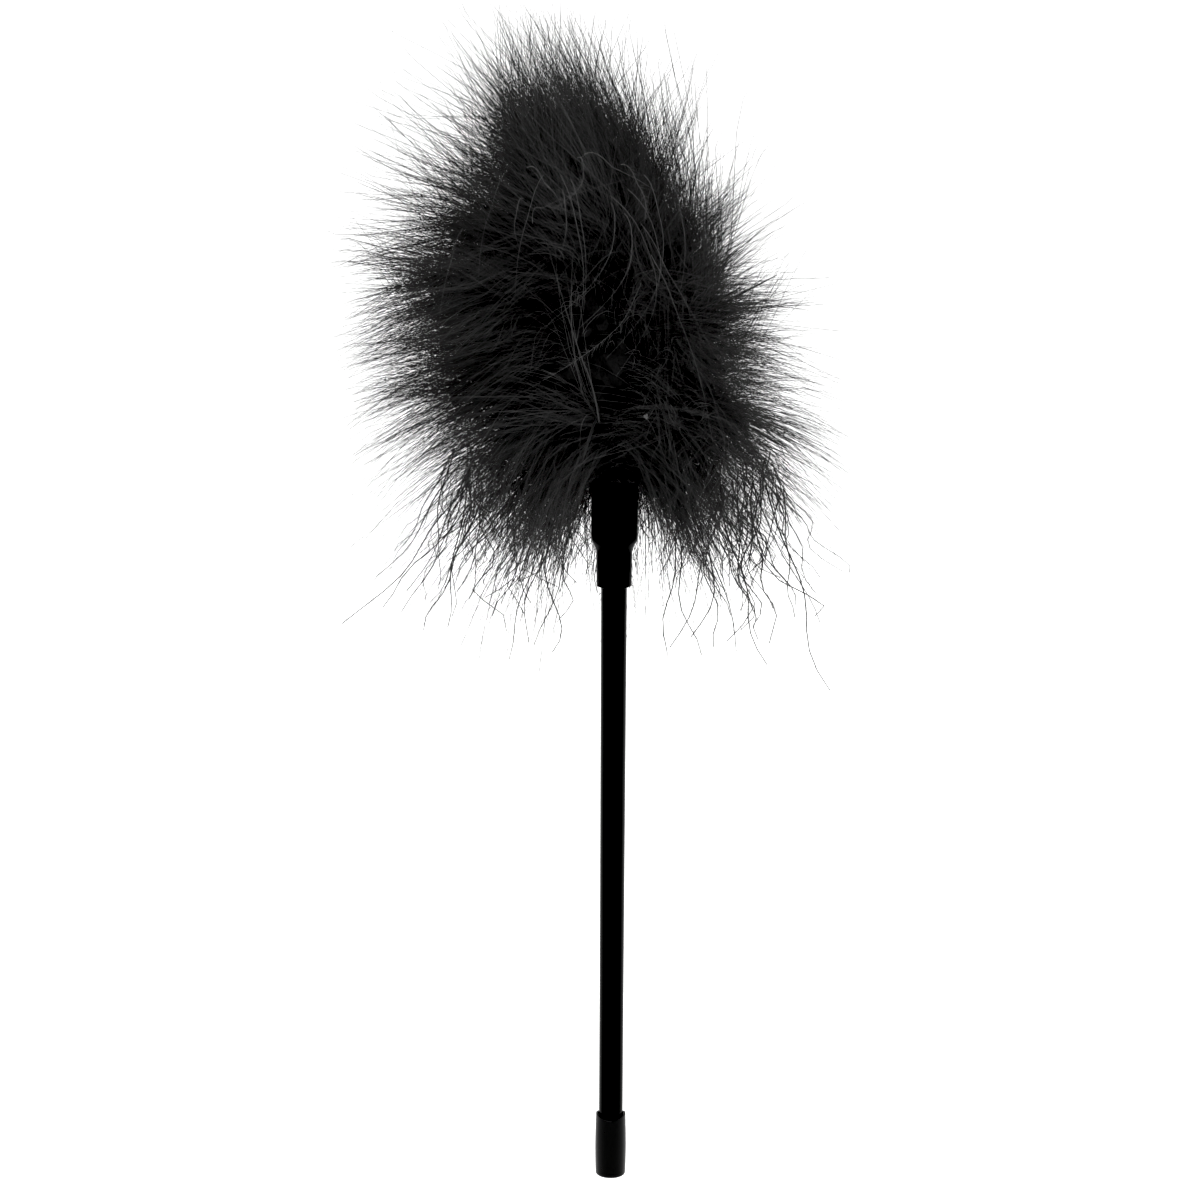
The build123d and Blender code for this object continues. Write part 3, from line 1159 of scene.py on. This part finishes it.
@dataclass
class Studio:
    """A pale floor, soft lights and the camera. Lengths are in metres, angles in degrees."""

    floor_half: float = 6.0
    floor_z: float = -0.03  # low enough for the cap to slide off above it
    floor_grey: float = 0.94
    floor_roughness: float = 0.9
    floor_specular: float = 0.1
    lamps: tuple[Lamp, ...] = (
        Lamp("key", (-0.7, -1.1, 1.5), 16.0),
        Lamp("fill", (1.2, -0.6, 1.0), 8.0),
        Lamp("front", (-0.2, -1.6, 0.6), 9.0, side=0.7),
        Lamp("back", (0.2, 1.2, 1.3), 12.0),
    )
    lit: tuple[float, float, float] = (0.0, 0.0, 0.25)  # where the lamps point
    dome_high: float = 1.7
    dome_low: float = 0.8
    white: float = 1.3  # how bright the room is to the camera
    black: float = 0.0155  # light below this level is shown as black
    pitch: float = 10.0  # how far the camera looks down
    roll: float = 0.31
    aim: tuple[float, float, float] = (-0.0045, 0.0, 0.1946)
    distance: float = 0.956
    focal_mm: float = 88.9
    sensor_mm: float = 36.0
    farthest: float = 50.0

    def build(self) -> None:
        """Build floor, world, lights and camera."""
        self.floor()
        self.world()
        for lamp in self.lamps:
            self.light(lamp)
        self.camera()

    def floor(self) -> None:
        """Lay the plain pale floor."""
        form = bmesh.new()
        bmesh.ops.create_grid(form, x_segments=1, y_segments=1, size=self.floor_half)
        bmesh.ops.translate(form, verts=form.verts, vec=(0.0, 0.0, self.floor_z))
        floor = finished(form, "floor")
        paper = bpy.data.materials.new("pale_floor")
        paper.use_nodes = True
        shader = paper.node_tree.nodes["Principled BSDF"]
        shader.inputs["Base Color"].default_value = (*(self.floor_grey,) * 3, 1.0)
        shader.inputs["Roughness"].default_value = self.floor_roughness
        shader.inputs["Specular IOR Level"].default_value = self.floor_specular
        dress(floor, paper)
        floor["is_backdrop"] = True

    def world(self) -> None:
        """Light the scene with a dome that is brightest overhead, and show the camera plain white."""
        world = bpy.data.worlds.new("studio")
        world.use_nodes = True
        tree = world.node_tree
        tree.nodes.clear()
        place = add_node(tree, "ShaderNodeTexCoord")
        height = add_node(tree, "ShaderNodeSeparateXYZ", links={"Vector": place.outputs["Generated"]})
        dome = add_node(
            tree,
            "ShaderNodeMapRange",
            values={"To Min": self.dome_low, "To Max": self.dome_high},
            links={"Value": height.outputs["Z"]},
        )
        rays = add_node(tree, "ShaderNodeLightPath")
        lighting = add_node(tree, "ShaderNodeBackground", links={"Strength": dome.outputs["Result"]})
        seen = add_node(tree, "ShaderNodeBackground", values={"Strength": self.white})
        for shade in (lighting, seen):
            shade.inputs["Color"].default_value = (1.0, 1.0, 1.0, 1.0)
        mixed = add_node(tree, "ShaderNodeMixShader", links={"Fac": rays.outputs["Is Camera Ray"]})
        tree.links.new(lighting.outputs["Background"], mixed.inputs[1])
        tree.links.new(seen.outputs["Background"], mixed.inputs[2])
        add_node(tree, "ShaderNodeOutputWorld", links={"Surface": mixed.outputs["Shader"]})
        scene = bpy.context.scene
        scene.world = world
        scene.view_settings.view_transform = "Standard"
        scene.view_settings.use_curve_mapping = True
        scene.view_settings.curve_mapping.black_level = (self.black,) * 3
        scene.view_settings.curve_mapping.update()

    def light(self, lamp: Lamp) -> None:
        """Hang one lamp.

        Args:
            lamp: the lamp.
        """
        data = bpy.data.lights.new(lamp.name, "AREA")
        data.size = lamp.side
        data.energy = lamp.power
        hung = link(lamp.name, data)
        hung.location = lamp.place
        beam = Vector(self.lit) - Vector(lamp.place)
        hung.rotation_euler = beam.to_track_quat("-Z", "Y").to_euler()

    def camera(self) -> None:
        """Place the camera and make it the scene's camera."""
        data = bpy.data.cameras.new("camera")
        data.lens = self.focal_mm
        data.sensor_width = self.sensor_mm
        data.clip_end = self.farthest
        camera = link("camera", data)
        pitch = math.radians(self.pitch)
        back = Vector((0.0, -math.cos(pitch), math.sin(pitch)))
        camera.location = Vector(self.aim) + back * self.distance
        look = (-back).to_track_quat("-Z", "Y").to_matrix().to_4x4()
        look = look @ Matrix.Rotation(math.radians(self.roll), 4, "Z")
        camera.rotation_euler = look.to_euler()
        bpy.context.scene.camera = camera


def corners(bounds: tuple[Vector, Vector]) -> list[list[float]]:
    """A box as plain lists."""
    return [list(map(float, corner)) for corner in bounds]


def tip_box(cad_box: list[list[float]]) -> tuple[np.ndarray, np.ndarray]:
    """Work out how far the down's tips may reach: beyond the frame's box, by a share and a length.

    Args:
        cad_box: the low and the high corner of the frame's box.

    Returns:
        The low and the high corner for the tips.
    """
    low, high = np.array(cad_box)
    beyond = BEYOND_SHARE * (high - low) + BEYOND_LENGTH
    return low - beyond, high + beyond


def main() -> None:
    """Build the looks around the fixed frame."""
    logging.basicConfig(level=logging.INFO, format="%(message)s")
    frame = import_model()
    cad_box = corners(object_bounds())
    Studio().build()
    Handle().dress()
    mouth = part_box("sleeve")[1]
    quills = sorted(node for node in frame["nodes"] if node.startswith("quill"))
    Head(Locks(mouth.z, mouth.x, *tip_box(cad_box))).build(quills)


if __name__ == "__main__":
    main()
